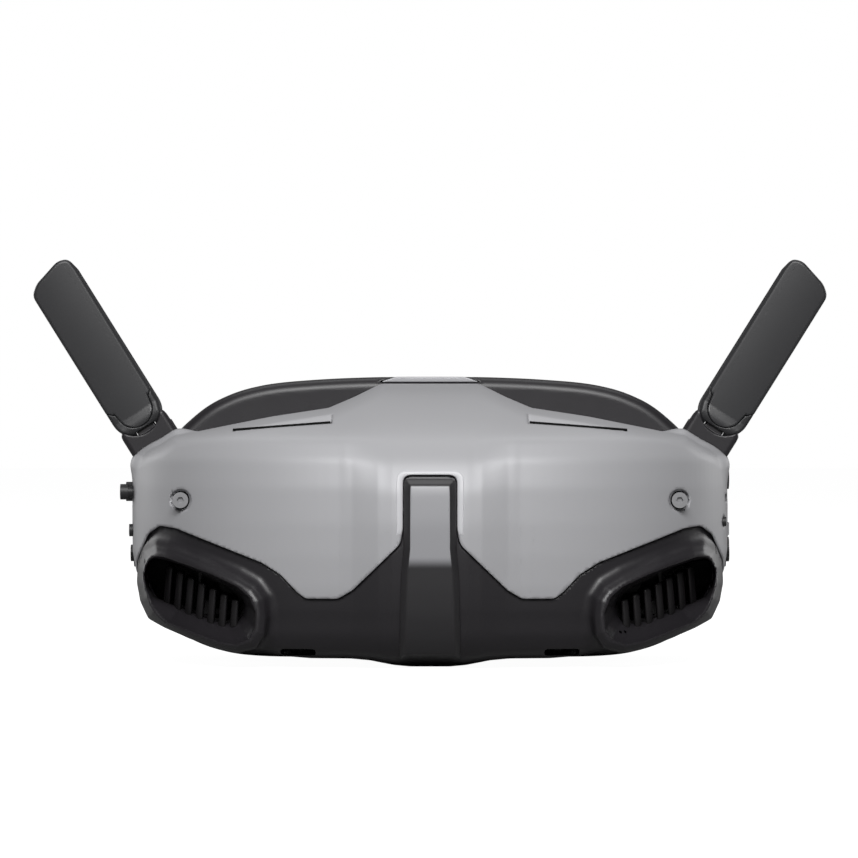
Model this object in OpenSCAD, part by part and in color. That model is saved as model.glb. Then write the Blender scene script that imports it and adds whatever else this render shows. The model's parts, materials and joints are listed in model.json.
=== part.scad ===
// FPV goggles: a two-part casing with two air nozzles, a rear frame with a face cushion, two folding
// paddle antennas, and an eye unit on each side that slides for eye spacing and focuses by a knob.
// Origin at the middle of the underside, +Z up, the front faces -Y, the wearer's left is +X.

/* [Casing] */
// Half of the casing's width
half_w = 78.5; // [77.5:0.5:80]
// How far the casing's front lies ahead of the origin
front_d = 49.5; // [48.5:0.5:50.5]
// Where the casing ends and the rear frame begins
rear_y = 18; // [17.5:0.5:18.5]
// Wall thickness of the casing
wall = 2; // [1.8:0.1:2.2]

/* [Eye units] */
// Distance from the middle to each eye's axis at rest
eye_x = 32; // [31.5:0.5:32.5]
// Height of the eyes' axes
eye_z = 36; // [35.5:0.5:36.5]
// Outer radius of a lens barrel
barrel_r = 17; // [16.5:0.5:17.5]

/* [Antennas] */
// Lean of each antenna, outward from upright, in degrees
lean = 32; // [30:1:34]
// Length of a paddle above its hinge
paddle_len = 46.6; // [45:0.2:47]
// Width of a paddle
paddle_w = 13.6; // [13:0.2:14]
// Thickness of a paddle
paddle_t = 5.6; // [5.4:0.2:6]

/* [Hidden] */
$fn = 64;
gap = 0.3;                      // space between pieces that move past each other
run = 0.05;                     // radial clearance of a shaft that turns or slides
hinge = [74.3, 2, 61.6];        // middle of the left antenna's hinge
knob_y = -20;                   // the focus knobs' axes
rod_r = 1.5;
rod_y = -6;
rod_z = [55.5, 14.5];
plate_y = 12.6;                 // front face of the lens plate
rod_end = 50;                   // the guide rods reach this far to each side
stick = [77.3, 2, 43.5];        // middle of the joystick's hole, on the right casing wall
lug = [78, 29, 27];             // middle of a headband socket
fan = [50.5, -20, 21];          // middle of a fan
usb_at = [77.1, 5, 34];         // middle of each port's mouth, on the left casing wall
card_at = [73.7, 2, 42];
jack_at = [77.2, 4, 46.8];
power_at = [77.3, 6, 28.6];
back_at = [78.2, 8.6, 43.5];    // middle of each button's hole
record_at = [77.3, 2, 33.6];
link_at = [75.7, -6, 36];
screw_at = [62.8, -29.2, 41.8]; // outer end of a front screw's head
black = [0.13, 0.13, 0.14];
grey = [0.5, 0.5, 0.52];
glass = [0.5, 0.6, 0.75];

// ---- outlines ----------------------------------------------------------------------------------
function sgn_pow(v, p) = sign(v) * pow(abs(v), p);
function unit(v) = v / norm(v);
function left_of(v) = [-v[1], v[0]];
function both_sides(half) = concat(half, [for (i = [len(half) - 1:-1:0]) [-half[i][0], half[i][1]]]);
// Moves each edge of a counter-clockwise outline inward by d.
function inset(pts, d) = let (n = len(pts)) [for (i = [0:n - 1])
    let (a = left_of(unit(pts[i] - pts[(i + n - 1) % n])), b = left_of(unit(pts[(i + 1) % n] - pts[i])))
    pts[i] + d * (a + b) / (1 + a * b)];
// Depth of the face's curve at a distance x from the middle.
function face_y(x, middle, side) = middle + (side - middle) * pow(abs(x) / half_w, 2);

// The casing seen from above: a superellipse that is full at the front.
module plan_outline(d) {
    polygon([for (a = [180:6:360])
        [(half_w - d) * sgn_pow(cos(a), 0.8), 20 + (front_d + 20 - d) * sgn_pow(sin(a), 0.8)]]);
}

// The casing's profile seen from the side, as [y, z].
side_pts = [[70, 0], [70, 72], [5, 71.4], [-15, 67], [-30, 61.5], [-40, 57.2], [-45.5, 52], [-48.5, 45],
    [-49.5, 36], [-49.5, 24], [-48.5, 14], [-46, 7], [-42, 2.5], [-36, 0]];

// The casing's outline seen from the front, right half from the bottom up, as [x, z].
front_half = [[5, 0], [9, 0.4], [15, 1.6], [20, 2], [30, 2], [38, 2.6], [50, 4.4], [61, 8], [70, 12.6],
    [75.5, 20], [78.3, 28], [78.5, 40], [77.5, 51], [74, 53.5], [69, 55.6], [65.7, 58], [58.7, 59.2],
    [40.3, 62.9], [26, 65.1], [19.7, 67.9], [12.7, 71.4]];

// The rear frame's outline and its face opening, seen from the front.
arch_half = [[18, 0], [48, 0], [60, 3], [70, 9], [76, 18], [77.5, 30], [76, 42], [72, 52], [65.5, 59.8],
    [58, 66.2], [50, 69.8], [41, 71.8], [26.5, 72.9], [12, 73.4]];
nose_notch = [[-19, -1], [19, -1], [13, 20], [7, 27], [-7, 27], [-13, 20]];
face_half = [[24, 15], [44, 12.5], [58, 18], [64, 30], [63, 46], [55, 57], [40, 61]];

// The seam between the grey shell and the black cover, seen from the front.
seam_half = [[85, 10], [76.2, 16], [74.8, 26], [71.5, 32.8], [68.5, 35], [64, 34.6], [51.8, 30.1], [42, 26.4], [37.2, 23.4], [33.2, 19.2],
    [31, 17.7], [22.9, 17.7], [19.3, 19.6], [7.2, 31.3], [6.5, 35], [6.5, 45.6], [4.4, 48]];
// A nozzle's rim, its opening and the vanes' frame, seen from the front on the +X side.
rim_pts = [[43, 14], [43.6, 6.5], [48.6, 4.2], [60.7, 7.7], [70.5, 12.5], [74.2, 20.5], [73, 27],
    [69.4, 30.4], [58, 25.6], [47.3, 20.2]];
mouth_pts = inset(rim_pts, 2.4);
grille_pts = inset(rim_pts, 4);

module across_y(y0, y1) { translate([0, y1, 0]) rotate([90, 0, 0]) linear_extrude(y1 - y0) children(); }
module across_x(x0, x1) {
    translate([x0, 0, 0]) rotate([90, 0, 90]) linear_extrude(x1 - x0) children();
}
module side(s) { mirror([s < 0 ? 1 : 0, 0, 0]) children(); }
module rod_x(r, x0, x1) { translate([x0, 0, 0]) rotate([0, 90, 0]) cylinder(r = r, h = x1 - x0); }
module rod_y(r, y0, y1) { translate([0, y0, 0]) rotate([-90, 0, 0]) cylinder(r = r, h = y1 - y0); }

// The casing's whole solid, d inside its outer surface, up to the depth y1.
module casing(d, y1) {
    intersection() {
        linear_extrude(90) plan_outline(d);
        across_x(-90, 90) polygon(inset(side_pts, d));
        across_y(-60, y1) polygon(inset(both_sides(front_half), d));
    }
}
module below_seam() { across_y(-60, 30) polygon(concat([[85, -5]], both_sides(seam_half), [[-85, -5]])); }
module nozzle_shape(pts, y0) {
    intersection() {
        across_y(y0, -8) polygon(pts);
        linear_extrude(60) plan_outline(-2.2);
    }
}

// ---- casing ------------------------------------------------------------------------------------
module wall_hole(p, r) { translate([60, p[1], p[2]]) rotate([0, 90, 0]) cylinder(r = r, h = 30); }
module front_shell() {
    color(grey) difference() {
        casing(0, rear_y);
        casing(wall, rear_y + 1);
        below_seam();
        for (s = [-1, 1]) side(s) {
            nozzle_shape(rim_pts, -60);
            translate([screw_at[0], 0, screw_at[2]]) {
                rod_y(2.3, -60, screw_at[1] + 1.2);
                rod_y(1.1, -60, 0);
            }
            translate([36, -16, 62]) rotate([0, 14, 0]) cube([24, 4, 20], center = true);
            stub_blocks();
        }
        mirror([1, 0, 0]) {
            wall_hole(stick, 3.4);
            wall_hole(back_at, 2.8);
            wall_hole(record_at, 1.9);
        }
        wall_hole(link_at, 1.5);
        wall_hole(jack_at, 2.6);
        wall_hole(power_at, 3.2);
        translate([80, usb_at[1], usb_at[2]]) cube([20, 9, 3.2], center = true);
        translate([80, card_at[1], card_at[2]]) cube([20, 12, 1.8], center = true);
    }
}
module lower_cover() {
    color(black) difference() {
        union() {
            difference() {
                intersection() {
                    casing(0, rear_y);
                    below_seam();
                }
                casing(wall, rear_y + 1);
            }
            for (s = [-1, 1]) side(s) difference() {
                nozzle_shape(rim_pts, -60);
                casing(wall, rear_y + 1);
            }
        }
        for (s = [-1, 1]) side(s) {
            nozzle_shape(mouth_pts, -60);
            knob_slot(5.4);
            translate([0, 0, 3.9]) across_y(-48, -22) chin_slot(0.85);
        }
    }
}
module knob_slot(r) {
    translate([eye_x, knob_y, -1]) linear_extrude(12) {
        for (d = [-4, 4]) translate([d, 0]) circle(r);
        square([8, 2 * r], center = true);
    }
}
module chin_slot(r) {
    for (d = [-3.6, 3.6]) translate([eye_x + 1 + d, 0]) circle(r);
    translate([eye_x + 1, 0]) square([7.2, 2 * r], center = true);
}
module center_strip() {
    color([0.2, 0.2, 0.21]) difference() {
        intersection() {
            across_x(-90, 90) polygon(inset(side_pts, -2.4));
            across_y(-60, -38) polygon([[-6.4, 2], [6.4, 2], [5.9, 26], [4.7, 30], [4.7, 45.4], [-4.7, 45.4],
                [-4.7, 30], [-5.9, 26]]);
        }
        across_x(-90, 90) polygon(side_pts);
        across_y(-47.2, 30) square(200, center = true);
    }
}
module vent_grille() {
    color(black) {
        difference() {
            nozzle_shape(inset(rim_pts, 2.4), -60);
            nozzle_shape(grille_pts, -60);
            linear_extrude(60) plan_outline(4.6);
        }
        intersection() {
            nozzle_shape(inset(rim_pts, 3.9), -60);
            for (i = [0:6]) translate([66.4 - 2.95 * i, -24, 19 - 1.4 * i]) rotate([0, 5.7, 0])
                cube([1.2, 60, 40], center = true);
            difference() {
                linear_extrude(60) plan_outline(1.6);
                linear_extrude(60) plan_outline(4.6);
            }
        }
    }
}
module top_trim() {
    color(grey) across_y(rear_y + 0.5, rear_y + 4) polygon([[-13, 72], [13, 72], [9, 73.4], [-9, 73.4]]);
}

// ---- rear frame and face side ------------------------------------------------------------------
// A band between two face curves, seen from above.
module face_band(front_mid, front_side, back_mid, back_side) {
    linear_extrude(90) polygon(concat(
        [for (x = [-80:8:80]) [x, face_y(x, front_mid, front_side)]],
        [for (x = [80:-8:-80]) [x, face_y(x, back_mid, back_side)]]));
}
module ring_outline(d, e) {
    difference() {
        polygon(inset(concat([[0, 0]], arch_half, [for (i = [len(arch_half) - 1:-1:0])
            [-arch_half[i][0], arch_half[i][1]]]), d));
        polygon(inset(nose_notch, -d));
        polygon(inset(both_sides(face_half), e));
    }
}
module rear_frame() {
    color(black) difference() {
        intersection() {
            across_y(rear_y, 60) ring_outline(0, 0);
            face_band(-60, -60, 26, 45);
        }
        across_y(rear_y - 1, rear_y + 4)
            polygon([[-13.15, 72], [13.15, 72], [9.15, 73.4], [9.15, 75], [-9.15, 75], [-9.15, 73.4]]);
        for (s = [-1, 1]) {
            side(s) translate([lug[0] - 8, lug[1], lug[2]]) rod_x(2.2, 0, 20);
            for (p = screw_places) side(s) translate([p[0], 0, p[1]]) {
                rod_y(1.1, 0, 60);
                rod_y(2, rear_y + 3, 60);
            }
        }
    }
}
screw_places = [[16, 64.5], [69.5, 44], [51.3, 9.8]];
module face_foam() {
    color([0.16, 0.16, 0.17]) intersection() {
        across_y(rear_y, 60) ring_outline(1.2, -0.8);
        face_band(26, 45, 35, 53);
    }
}
module nose_shield() {
    color([0.1, 0.1, 0.1]) across_y(rear_y + 1, rear_y + 2.4) difference() {
        polygon(nose_notch);
        polygon(inset(nose_notch, 1.6));
        translate([-30, -3]) square([60, 3.2]);
    }
}
module lens_plate() {
    color(black) difference() {
        union() {
            intersection() {
                across_y(plate_y, plate_y + 1.8) polygon(inset(both_sides(front_half), wall + 0.4));
                linear_extrude(90) plan_outline(wall + 0.4);
            }
            for (x = [-rod_end, rod_end - 3], z = rod_z) translate([x, rod_y - 3, z - 2.6])
                cube([3, plate_y - rod_y + 3.5, 5.2]);
        }
        for (z = rod_z) translate([0, rod_y, z]) rod_x(rod_r, -60, 60);
        for (s = [-1, 1], p = screw_places) side(s) translate([p[0], 0, p[1]]) rod_y(1.1, 0, 60);
        for (s = [-1, 1]) translate([s * eye_x, 0, eye_z]) rotate([90, 0, 0])
            linear_extrude(60, center = true) {
                for (d = [-4, 4]) translate([d, 0]) circle(barrel_r + 0.6);
                square([8, 2 * barrel_r + 1.2], center = true);
            }
        translate([0, 0, 55]) rod_y(3, 0, 60);
        translate([9, 0, 55]) rod_y(0.9, 0, 60);
    }
}
module proximity_window() { color([0.25, 0.02, 0.05]) translate([0, 0, 55]) rod_y(3, plate_y + 0.2, plate_y + 2.4); }
module status_light() { color("white") translate([9, 0, 55]) rod_y(0.9, plate_y + 0.2, plate_y + 2.6); }

// ---- eye units ---------------------------------------------------------------------------------
module guide_rods() {
    color("silver") for (z = rod_z) translate([0, rod_y, z]) rod_x(rod_r, -rod_end, rod_end);
}
module eye_carriage() {
    color([0.3, 0.3, 0.32]) difference() {
        union() {
            translate([eye_x, 0, eye_z]) rod_y(barrel_r + 2, -16, 2);
            translate([eye_x, rod_y, (rod_z[0] + rod_z[1]) / 2]) cube([14, 8, 48], center = true);
            translate([eye_x, knob_y, 11]) cylinder(r = 6, h = 9.5);
            translate([eye_x - 5, knob_y + 3, 14.5]) cube([10, 8, 6]);
        }
        translate([eye_x, 0, eye_z]) rod_y(barrel_r + run, -13.5, 3);
        translate([eye_x, 0, eye_z]) cube([17, 40, 15], center = true);
        for (z = rod_z) translate([0, rod_y, z]) rod_x(rod_r + run, 0, 80);
        translate([eye_x, knob_y, 0]) cylinder(r = 4 + run, h = 18);
        translate([eye_x, knob_y, 0]) cylinder(r = 3.4, h = 30);
    }
}
module display_module() {
    color([0.1, 0.35, 0.2]) translate([eye_x - 8.5, -18, eye_z - 6.5]) cube([17, 4.4, 14]);
}
module lens_barrel() {
    color(black) translate([eye_x, 0, eye_z]) difference() {
        rod_y(barrel_r, -8, 17);
        rod_y(barrel_r - 3, -9, 20);
        rod_y(barrel_r - 1.4, 11, 20);
        rod_y(barrel_r - 1.4, -9, -3.4);
    }
}
// A lens between two spherical faces, from y0 to y1, with its rim r.
module lens(r, y0, y1, ball) {
    color(glass, 0.6) translate([eye_x, 0, eye_z]) intersection() {
        rod_y(r, y0 - 5, y1 + 5);
        translate([0, y0 + ball, 0]) sphere(ball, $fn = 220);
        translate([0, y1 - ball, 0]) sphere(ball, $fn = 220);
    }
}
module eye_lens() { lens(barrel_r - 1.4, 10, 16.6, 40); }
module field_lens() { lens(barrel_r - 1.4, -7.6, -1.4, 44); }
module knob_bush() {
    color("gold") translate([eye_x, knob_y, 0]) difference() {
        cylinder(r = 4, h = 17.5);
        translate([0, 0, -1]) cylinder(r = 5, h = 10.5);
        cylinder(r = 2 + run, h = 30);
        translate([0, 0, 15.7]) cylinder(r = 3.3, h = 5);
    }
}
module focus_knob() {
    color(black) translate([eye_x, knob_y, 0]) difference() {
        union() {
            translate([0, 0, 2.3]) cylinder(r = 5, h = 5.2);
            translate([0, 0, 7.5]) cylinder(r = 3.2, h = 1.7);
            translate([0, 0, 9]) cylinder(r = 2, h = 7.2);
            translate([0, 0, 16]) cylinder(r = 2.9, h = 1.2);
        }
        for (a = [0:15:345]) rotate(a) translate([5.1, 0, 2]) cylinder(r = 0.35, h = 6);
        translate([-4, -0.4, 2]) cube([8, 0.8, 0.9]);
    }
}

// ---- electronics and cooling -------------------------------------------------------------------
module main_board() {
    color([0.05, 0.3, 0.15]) {
        translate([-38, -30.2, 24]) cube([76, 1.2, 30]);
        translate([-9, -32, 32]) cube([18, 1.8, 16]);
        for (s = [-1, 1]) translate([s * 27 - 4, -31.6, 36]) cube([8, 1.4, 8]);
    }
}
module heat_sink() {
    color("silver") {
        translate([-14, -33.6, 30]) cube([28, 1.6, 20]);
        for (i = [0:8]) translate([-14 + i * 3.4, -38.6, 30]) cube([0.8, 5, 20]);
    }
}
module fan_housing() {
    color([0.15, 0.15, 0.15]) translate(fan) {
        difference() {
            cube([16, 6.6, 16], center = true);
            rod_y(7.4, -5, 2.3);
            for (a = [0:3]) rotate([0, 45 + 90 * a, 0]) translate([5.2, 0, 0]) rod_y(1.7, 0, 5);
        }
        rod_y(1, -1.9, 2.6);
    }
}
module fan_rotor() {
    color([0.2, 0.2, 0.22]) translate(fan) difference() {
        union() {
            rod_y(2.9, -2.8, 1.8);
            for (a = [0:8]) rotate([0, 40 * a, 0]) translate([4.7, -0.5, 0]) rotate([35, 0, 0])
                cube([4.4, 0.8, 4], center = true);
        }
        rod_y(1 + run, -2.2, 6);
    }
}

// ---- antennas: local x across the paddle, y back, z along it, origin on the hinge's axis -------
module at_hinge() { translate(hinge) rotate([0, lean, 0]) children(); }
knuckle_r = 3.3;
pin_r = 1.2;
tongue_w = 5.2;
// The stub's body: a collar on the shell and a plug that the shell holds.
module stub_blocks() {
    at_hinge() {
        translate([0, 0, -5.55]) cube([13.2, 7.6, 4.1], center = true);
        translate([0, 0, -8.8]) cube([9, 7, 3.6], center = true);
    }
}
module antenna_stub() {
    color(black) difference() {
        union() {
            stub_blocks();
            at_hinge() {
                translate([0, 0, -2.5]) cube([tongue_w, 4, 5], center = true);
                rod_x(2, -tongue_w / 2, tongue_w / 2);
            }
        }
        at_hinge() difference() {
            rod_x(knuckle_r + gap, -10, 10);
            rod_x(2.2, -tongue_w / 2, tongue_w / 2);
            translate([0, 0, -2.5]) cube([tongue_w, 4, 5], center = true);
        }
        at_hinge() rod_x(pin_r + run, -10, 10);
    }
}
module antenna_pin() { color("silver") at_hinge() rod_x(pin_r, -5.6, 5.6); }
// The paddle's outline: its end slants, and the side nearer the middle is the longer one.
module paddle_outline() {
    w = paddle_w / 2;
    polygon([[-w, 0], [w, 0], [w, paddle_len - 4.4], [w - 0.6, paddle_len - 3.2], [w - 2.3, paddle_len - 2.2],
        [-w / 2, paddle_len], [-w + 1.2, paddle_len - 1.2], [-w, paddle_len - 3.6]]);
}
module antenna_back() {
    color(black) at_hinge() difference() {
        union() {
            difference() {
                translate([0, paddle_t / 2, 0]) rotate([90, 0, 0]) linear_extrude(paddle_t - 1.6) paddle_outline();
                translate([0, -0.6, 24.5]) cube([paddle_w - 2.4, 3.4, 34], center = true);
            }
            rod_x(knuckle_r, -paddle_w / 2, paddle_w / 2);
        }
        rod_x(2.6, -tongue_w / 2 - gap, tongue_w / 2 + gap);
        translate([0, 5, -2]) cube([tongue_w + 2 * gap, 14.8, 9.2], center = true);
        translate([0, 0, -5]) cube([tongue_w + 2 * gap, 5.2, 10], center = true);
        rod_x(pin_r, -5.6, 5.6);
    }
}
module antenna_cover() {
    color([0.17, 0.17, 0.18]) at_hinge() translate([0, -paddle_t / 2 + 1.6, 0]) rotate([90, 0, 0])
        linear_extrude(1.6) intersection() {
            paddle_outline();
            translate([-10, 4]) square([20, 60]);
        }
}
module antenna_board() {
    color([0.05, 0.3, 0.15]) at_hinge() translate([0, -0.2, 24.5]) cube([paddle_w - 3.4, 0.8, 32], center = true);
}

// ---- controls on the wearer's right, in a frame whose x points out of the wall ------------------
module at_stick() { translate([-stick[0], stick[1], stick[2]]) mirror([1, 0, 0]) children(); }
gimbal_x = -5;
module joystick_base() {
    color([0.3, 0.3, 0.3]) at_stick() difference() {
        translate([gimbal_x, 0, 0]) cube([3, 12.4, 12.4], center = true);
        rod_x(5.4, -10, 5);
        translate([gimbal_x, 0, 0]) rod_y(0.75 + run, -12, 12);
    }
}
module joystick_gimbal() {
    color("silver") at_stick() difference() {
        translate([gimbal_x, 0, 0]) union() {
            difference() {
                rod_x(5, -1, 1);
                rod_x(3.8, -2, 2);
            }
            for (s = [-1, 1]) rod_y(0.75, s > 0 ? 4.4 : -6.1, s > 0 ? 6.1 : -4.4);
        }
        translate([gimbal_x, 0, -10]) cylinder(r = 0.6 + run, h = 20);
    }
}
module joystick_yoke() {
    color([0.4, 0.4, 0.4]) at_stick() difference() {
        translate([gimbal_x, 0, 0]) union() {
            rod_x(3.2, -1, 1);
            for (z = [2.8, -4.8]) translate([0, 0, z]) cylinder(r = 0.6, h = 2);
        }
        rod_x(1.5 + run, -20, 20);
    }
}
module joystick_cap() {
    color(black) at_stick() {
        rod_x(1.5, gimbal_x - 1.4, 0.6);
        rod_x(2, 0.5, 2.6);
    }
}
// A round button in a wall hole: a cap that passes the wall and a flange behind it.
module wall_button(p, r, out, in) {
    translate(p) {
        rod_x(r, -in, out);
        translate([-in - 1, 0, 0]) rod_x(r + 1, 0, 1);
    }
}
module back_button() { color(black) mirror([1, 0, 0]) wall_button(back_at, 2.5, 0.6, 2.6); }
module record_button() { color("firebrick") mirror([1, 0, 0]) wall_button(record_at, 1.6, 0.3, 2.6); }
module link_button() { color(black) wall_button(link_at, 1.2, 0.2, 2.9); }

// ---- ports on the wearer's left -----------------------------------------------------------------
module usb_port() {
    translate(usb_at) {
        color("silver") difference() {
            translate([-8, -4.5, -1.6]) cube([8, 9, 3.2]);
            translate([-6, -4.1, -1.2]) cube([8, 8.2, 2.4]);
        }
        color("black") translate([-6, -3.2, -0.3]) cube([5, 6.4, 0.6]);
    }
}
module card_socket() {
    color("silver") translate(card_at) difference() {
        translate([-14, -7, -1.2]) cube([14, 14, 2.4]);
        translate([-13, -5.9, -0.7]) cube([20, 11.8, 1.4]);
    }
}
module audio_jack() {
    color(black) translate(jack_at) difference() {
        rod_x(2.6, -13, 0);
        rod_x(1.75, -11.2, 2);
    }
}
module power_port() {
    color([0.2, 0.2, 0.2]) translate(power_at) {
        difference() {
            rod_x(3.2, -11, 0);
            rod_x(2.75, -9.6, 2);
        }
        rod_x(0.8, -9.7, -1);
    }
}

// ---- headband sockets and screws ----------------------------------------------------------------
module headband_mount() {
    color([0.1, 0.1, 0.1]) translate([lug[0], lug[1], lug[2]]) difference() {
        rod_x(2.2, -8, 0.9);
        rod_x(1.5, -6, 2);
    }
}
module socket_screw(head_r, head_h, shank_r, shank_h) {
    difference() {
        union() {
            rod_y(head_r, 0, head_h);
            rod_y(shank_r, 0, head_h + shank_h);
        }
        rod_y(head_r * 0.45, -1, head_h * 0.6, $fn = 6);
    }
}
module front_screws() {
    color("silver") for (s = [-1, 1]) side(s) translate(screw_at) socket_screw(2, 1.2, 1.1, 8);
}
module frame_screws() {
    color("silver") for (s = [-1, 1], p = screw_places) side(s) translate([p[0], rear_y + 3, p[1]])
        mirror([0, 1, 0]) translate([0, -1.6, 0]) socket_screw(2, 1.6, 1.1, 9);
}

front_shell();
lower_cover();
center_strip();
side(1) vent_grille();  // vent_grille_left
side(-1) vent_grille();  // vent_grille_right
top_trim();
rear_frame();
face_foam();
nose_shield();
lens_plate();
proximity_window();
status_light();
guide_rods();
side(1) eye_carriage();  // eye_carriage_left
side(-1) eye_carriage();  // eye_carriage_right
side(1) display_module();  // display_module_left
side(-1) display_module();  // display_module_right
side(1) field_lens();  // field_lens_left
side(-1) field_lens();  // field_lens_right
side(1) lens_barrel();  // lens_barrel_left
side(-1) lens_barrel();  // lens_barrel_right
side(1) eye_lens();  // eye_lens_left
side(-1) eye_lens();  // eye_lens_right
side(1) knob_bush();  // knob_bush_left
side(-1) knob_bush();  // knob_bush_right
side(1) focus_knob();  // focus_knob_left
side(-1) focus_knob();  // focus_knob_right
main_board();
heat_sink();
side(1) fan_housing();  // fan_housing_left
side(-1) fan_housing();  // fan_housing_right
side(1) fan_rotor();  // fan_rotor_left
side(-1) fan_rotor();  // fan_rotor_right
side(1) antenna_stub();  // antenna_stub_left
side(-1) antenna_stub();  // antenna_stub_right
side(1) antenna_pin();  // antenna_pin_left
side(-1) antenna_pin();  // antenna_pin_right
side(1) antenna_cover();  // antenna_cover_left
side(-1) antenna_cover();  // antenna_cover_right
side(1) antenna_back();  // antenna_back_left
side(-1) antenna_back();  // antenna_back_right
side(1) antenna_board();  // antenna_board_left
side(-1) antenna_board();  // antenna_board_right
joystick_base();
joystick_gimbal();
joystick_yoke();
joystick_cap();
back_button();
record_button();
link_button();
usb_port();
card_socket();
audio_jack();
power_port();
side(1) headband_mount();  // headband_mount_left
side(-1) headband_mount();  // headband_mount_right
front_screws();
frame_screws();
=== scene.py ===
"""FPV goggles in Blender: smooth moulded shells, nozzles, antennas and a face cushion around the CAD frame.

Most visible shells are written as distance fields in millimetres (negative inside), meshed on a fine
grid and moved onto the field, so that fillets, seams and recesses are real geometry.
"""
import json
import math

import bpy
import numpy as np
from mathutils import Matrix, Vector


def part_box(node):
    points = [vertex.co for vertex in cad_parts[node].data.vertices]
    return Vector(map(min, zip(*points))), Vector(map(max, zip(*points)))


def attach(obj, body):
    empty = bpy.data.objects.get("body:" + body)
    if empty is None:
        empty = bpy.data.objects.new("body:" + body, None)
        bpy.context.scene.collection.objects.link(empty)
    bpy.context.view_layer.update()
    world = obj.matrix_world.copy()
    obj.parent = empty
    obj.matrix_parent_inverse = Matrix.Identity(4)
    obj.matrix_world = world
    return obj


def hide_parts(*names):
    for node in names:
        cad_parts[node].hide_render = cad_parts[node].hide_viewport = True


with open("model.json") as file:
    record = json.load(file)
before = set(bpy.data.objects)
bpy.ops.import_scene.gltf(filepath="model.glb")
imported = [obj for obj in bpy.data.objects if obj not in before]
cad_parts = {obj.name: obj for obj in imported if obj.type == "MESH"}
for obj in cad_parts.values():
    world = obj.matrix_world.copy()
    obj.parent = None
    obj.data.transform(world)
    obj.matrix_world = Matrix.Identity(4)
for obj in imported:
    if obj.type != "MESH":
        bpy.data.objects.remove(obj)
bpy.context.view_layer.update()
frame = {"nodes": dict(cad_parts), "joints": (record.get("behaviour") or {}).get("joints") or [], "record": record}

MM = 0.001
FINE = 1.0


# ---- places taken from the frame ------------------------------------------------------------------
def node_box(name):
    """A node's corners in millimetres."""
    low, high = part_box(name)
    return np.array(low) / MM, np.array(high) / MM


def middle(name):
    """The middle of a node's box in millimetres."""
    low, high = node_box(name)
    return (low + high) / 2


HALF_W, REAR_Y = node_box("front_shell")[1][:2]
FOLD = next(joint for joint in frame["joints"] if joint["name"] == "antenna_fold_left")
HINGE = np.array(FOLD["pos_m"]) / MM
LEAN = math.atan2(FOLD["axis"][2], -FOLD["axis"][0])
HEAD_R = 2.0                        # radius of a front screw's head
SCREW_X = node_box("front_screws")[1][0] - HEAD_R
SCREW_Z = middle("front_screws")[2]
KNOB = middle("focus_knob_left")
LUG = middle("headband_mount_left")


# ---- distance fields ------------------------------------------------------------------------------
def union(a, b, r):
    """Both solids, joined with a fillet of radius r."""
    if np.ndim(r) == 0 and r == 0:
        return np.minimum(a, b)
    return np.maximum(r, np.minimum(a, b)) - np.hypot(np.maximum(r - a, 0), np.maximum(r - b, 0))


def meet(a, b, r):
    """Where both solids are, with its edge rounded to radius r."""
    return -union(-a, -b, r)


def cut(a, b, r=0.0):
    """The first solid without the second, with the edge rounded to radius r."""
    return meet(a, -b, r)


def box_field(p, centre, half, r):
    """A box with rounded edges."""
    q = [np.abs(p[i] - centre[i]) - (half[i] - r) for i in range(3)]
    outside = np.sqrt(sum(np.maximum(v, 0) ** 2 for v in q))
    return outside + np.minimum(np.maximum(q[0], np.maximum(q[1], q[2])), 0) - r


def rounded(points, radius):
    """A closed outline with each corner replaced by a round one."""
    points = [np.array(p, float) for p in points]
    out = []
    for i, here in enumerate(points):
        before, after = points[i - 1], points[(i + 1) % len(points)]
        r = radius[i] if isinstance(radius, (list, tuple)) else radius
        back, ahead = before - here, after - here
        a, b = np.linalg.norm(back), np.linalg.norm(ahead)
        half = 0.5 * math.acos(max(-1.0, min(1.0, float(back @ ahead) / (a * b))))
        reach = min(r / max(math.tan(half), 1e-3), 0.48 * a, 0.48 * b)
        start, end = here + back / a * reach, here + ahead / b * reach
        for t in np.linspace(0, 1, 6):
            out.append((1 - t) ** 2 * start + 2 * t * (1 - t) * here + t * t * end)
    return np.array(out)


def outline_distance(points, u, v):
    """Signed distance in the plane to a closed outline, negative inside."""
    u, v = np.asarray(u, float), np.asarray(v, float)
    best = np.full(u.shape, 1e9)
    inside = np.zeros(u.shape, bool)
    for (ax, ay), (bx, by) in zip(points, np.roll(points, -1, axis=0)):
        ex, ey = bx - ax, by - ay
        length2 = ex * ex + ey * ey
        if length2 < 1e-12:
            continue
        wx, wy = u - ax, v - ay
        t = np.clip((wx * ex + wy * ey) / length2, 0, 1)
        best = np.minimum(best, (wx - ex * t) ** 2 + (wy - ey * t) ** 2)
        crosses = ((ay > v) != (by > v)) & (wx < ex * wy / (ey if ey else 1e-12))
        inside ^= crosses
    return np.where(inside, -1.0, 1.0) * np.sqrt(best)


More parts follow.
